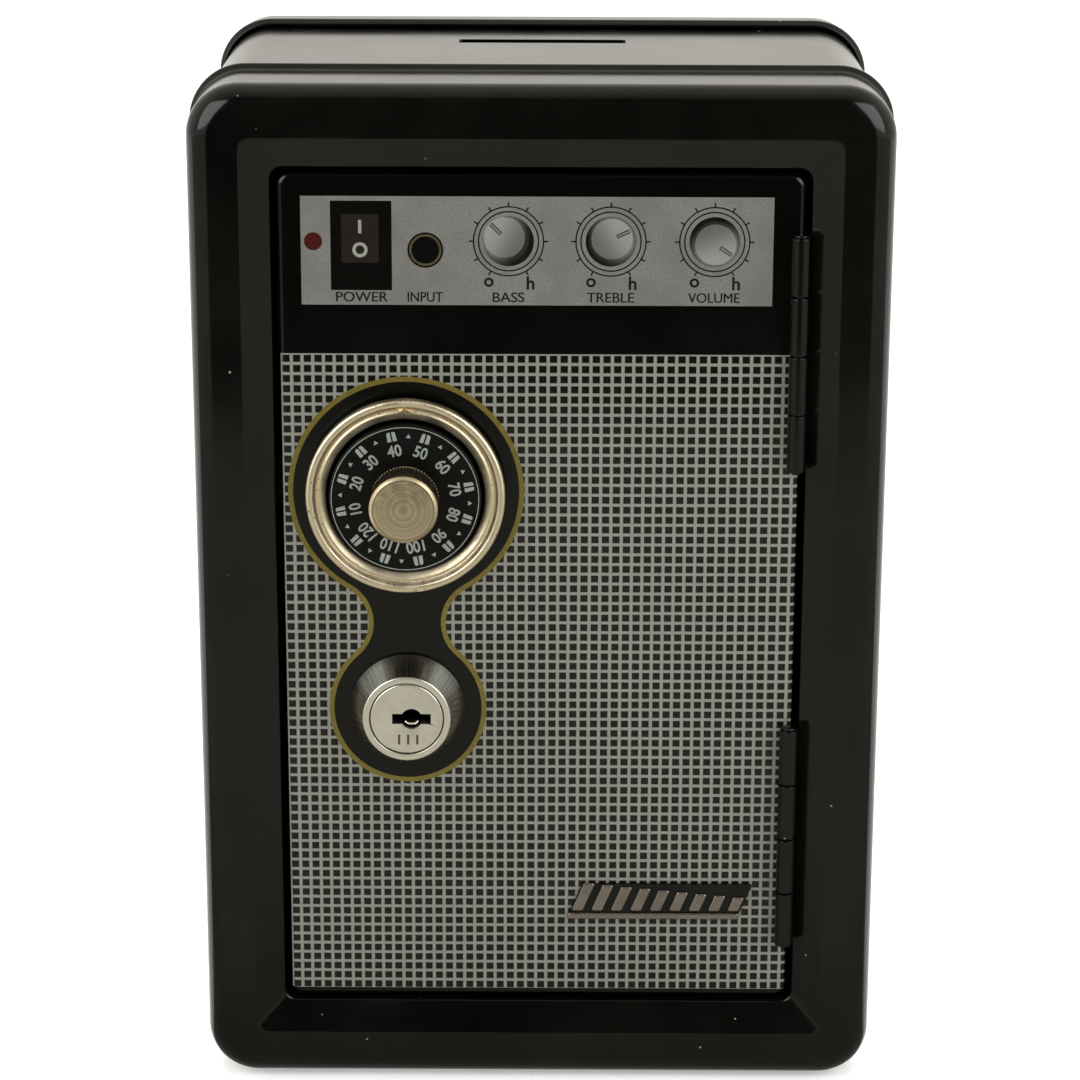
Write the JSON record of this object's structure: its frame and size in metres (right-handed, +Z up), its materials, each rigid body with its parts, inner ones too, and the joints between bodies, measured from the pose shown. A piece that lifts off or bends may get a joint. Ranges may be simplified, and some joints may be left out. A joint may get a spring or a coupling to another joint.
{
  "type": "toy safe coin bank",
  "caption": "Upright sheet-metal money box shaped as a small safe, with a coin slot in its top and a hinged front door that carries a numbered dial and a key lock.",
  "frame": {"origin": "middle of the box's underside, on the surface it stands on", "axes": "+X to the right seen from the front, +Y from the door to the back cover, +Z up"},
  "size_m": [0.122, 0.0974, 0.183],
  "materials": {
    "body_enamel": "gloss",
    "door_print": "satin print",
    "hinge_enamel": "gloss",
    "champagne_nickel": "polished",
    "lock_chrome": "polished",
    "dial_black": "satin",
    "badge_chrome": "polished",
    "zinc_plate": "zinc plated",
    "spring_steel": "plain"
  },
  "bodies": {
    "body": {"front_frame": "body_enamel", "body_sleeve": "body_enamel", "back_cover": "body_enamel", "dial_keeper": "zinc_plate", "upper_hinge_frame_leaf": "hinge_enamel", "lower_hinge_frame_leaf": "hinge_enamel", "upper_hinge_pin": "hinge_enamel", "lower_hinge_pin": "hinge_enamel"},
    "door": {"door_panel": "door_print", "upper_hinge_door_leaf": "hinge_enamel", "lower_hinge_door_leaf": "hinge_enamel", "name_badge": "badge_chrome", "dial_bezel": "champagne_nickel", "wheel_post": "zinc_plate", "post_nut": "zinc_plate", "wheel_collar": "zinc_plate", "wheel_washer_front": "zinc_plate", "wheel_washer_rear": "zinc_plate", "spring_washer": "spring_steel", "lock_housing": "lock_chrome", "lock_nut": "zinc_plate"},
    "dial": {"dial_disc": "dial_black", "dial_knob": "champagne_nickel", "dial_spindle": "spring_steel", "drive_wheel": "zinc_plate", "spindle_clip": "spring_steel"},
    "front_wheel": {"tumbler_wheel_front": "zinc_plate"},
    "rear_wheel": {"tumbler_wheel_rear": "zinc_plate"},
    "key_plug": {"lock_plug": "lock_chrome", "lock_cam": "zinc_plate", "cam_screw": "zinc_plate"}
  },
  "joints": [
    {"name": "door_swing", "type": "hinge", "parent": "body", "child": "door", "pos_m": [0.0441, -0.0385, 0.0915], "axis": [0, 0, 1], "range_deg": [0, 180]},
    {"name": "dial_spin", "type": "hinge", "parent": "door", "child": "dial", "pos_m": [-0.02325, -0.03655, 0.1111], "axis": [0, 1, 0], "continuous": true},
    {"name": "front_wheel_spin", "type": "hinge", "parent": "door", "child": "front_wheel", "pos_m": [-0.02325, -0.03655, 0.1111], "axis": [0, 1, 0], "continuous": true},
    {"name": "rear_wheel_spin", "type": "hinge", "parent": "door", "child": "rear_wheel", "pos_m": [-0.02325, -0.03655, 0.1111], "axis": [0, 1, 0], "continuous": true},
    {"name": "key_turn", "type": "hinge", "parent": "door", "child": "key_plug", "pos_m": [-0.02325, -0.03655, 0.0713], "axis": [0, 1, 0], "range_deg": [0, 90]}
  ],
  "couplings": [
    {"joint": "front_wheel_spin", "follows": "dial_spin", "ratio": 1},
    {"joint": "rear_wheel_spin", "follows": "dial_spin", "ratio": 1}
  ]
}
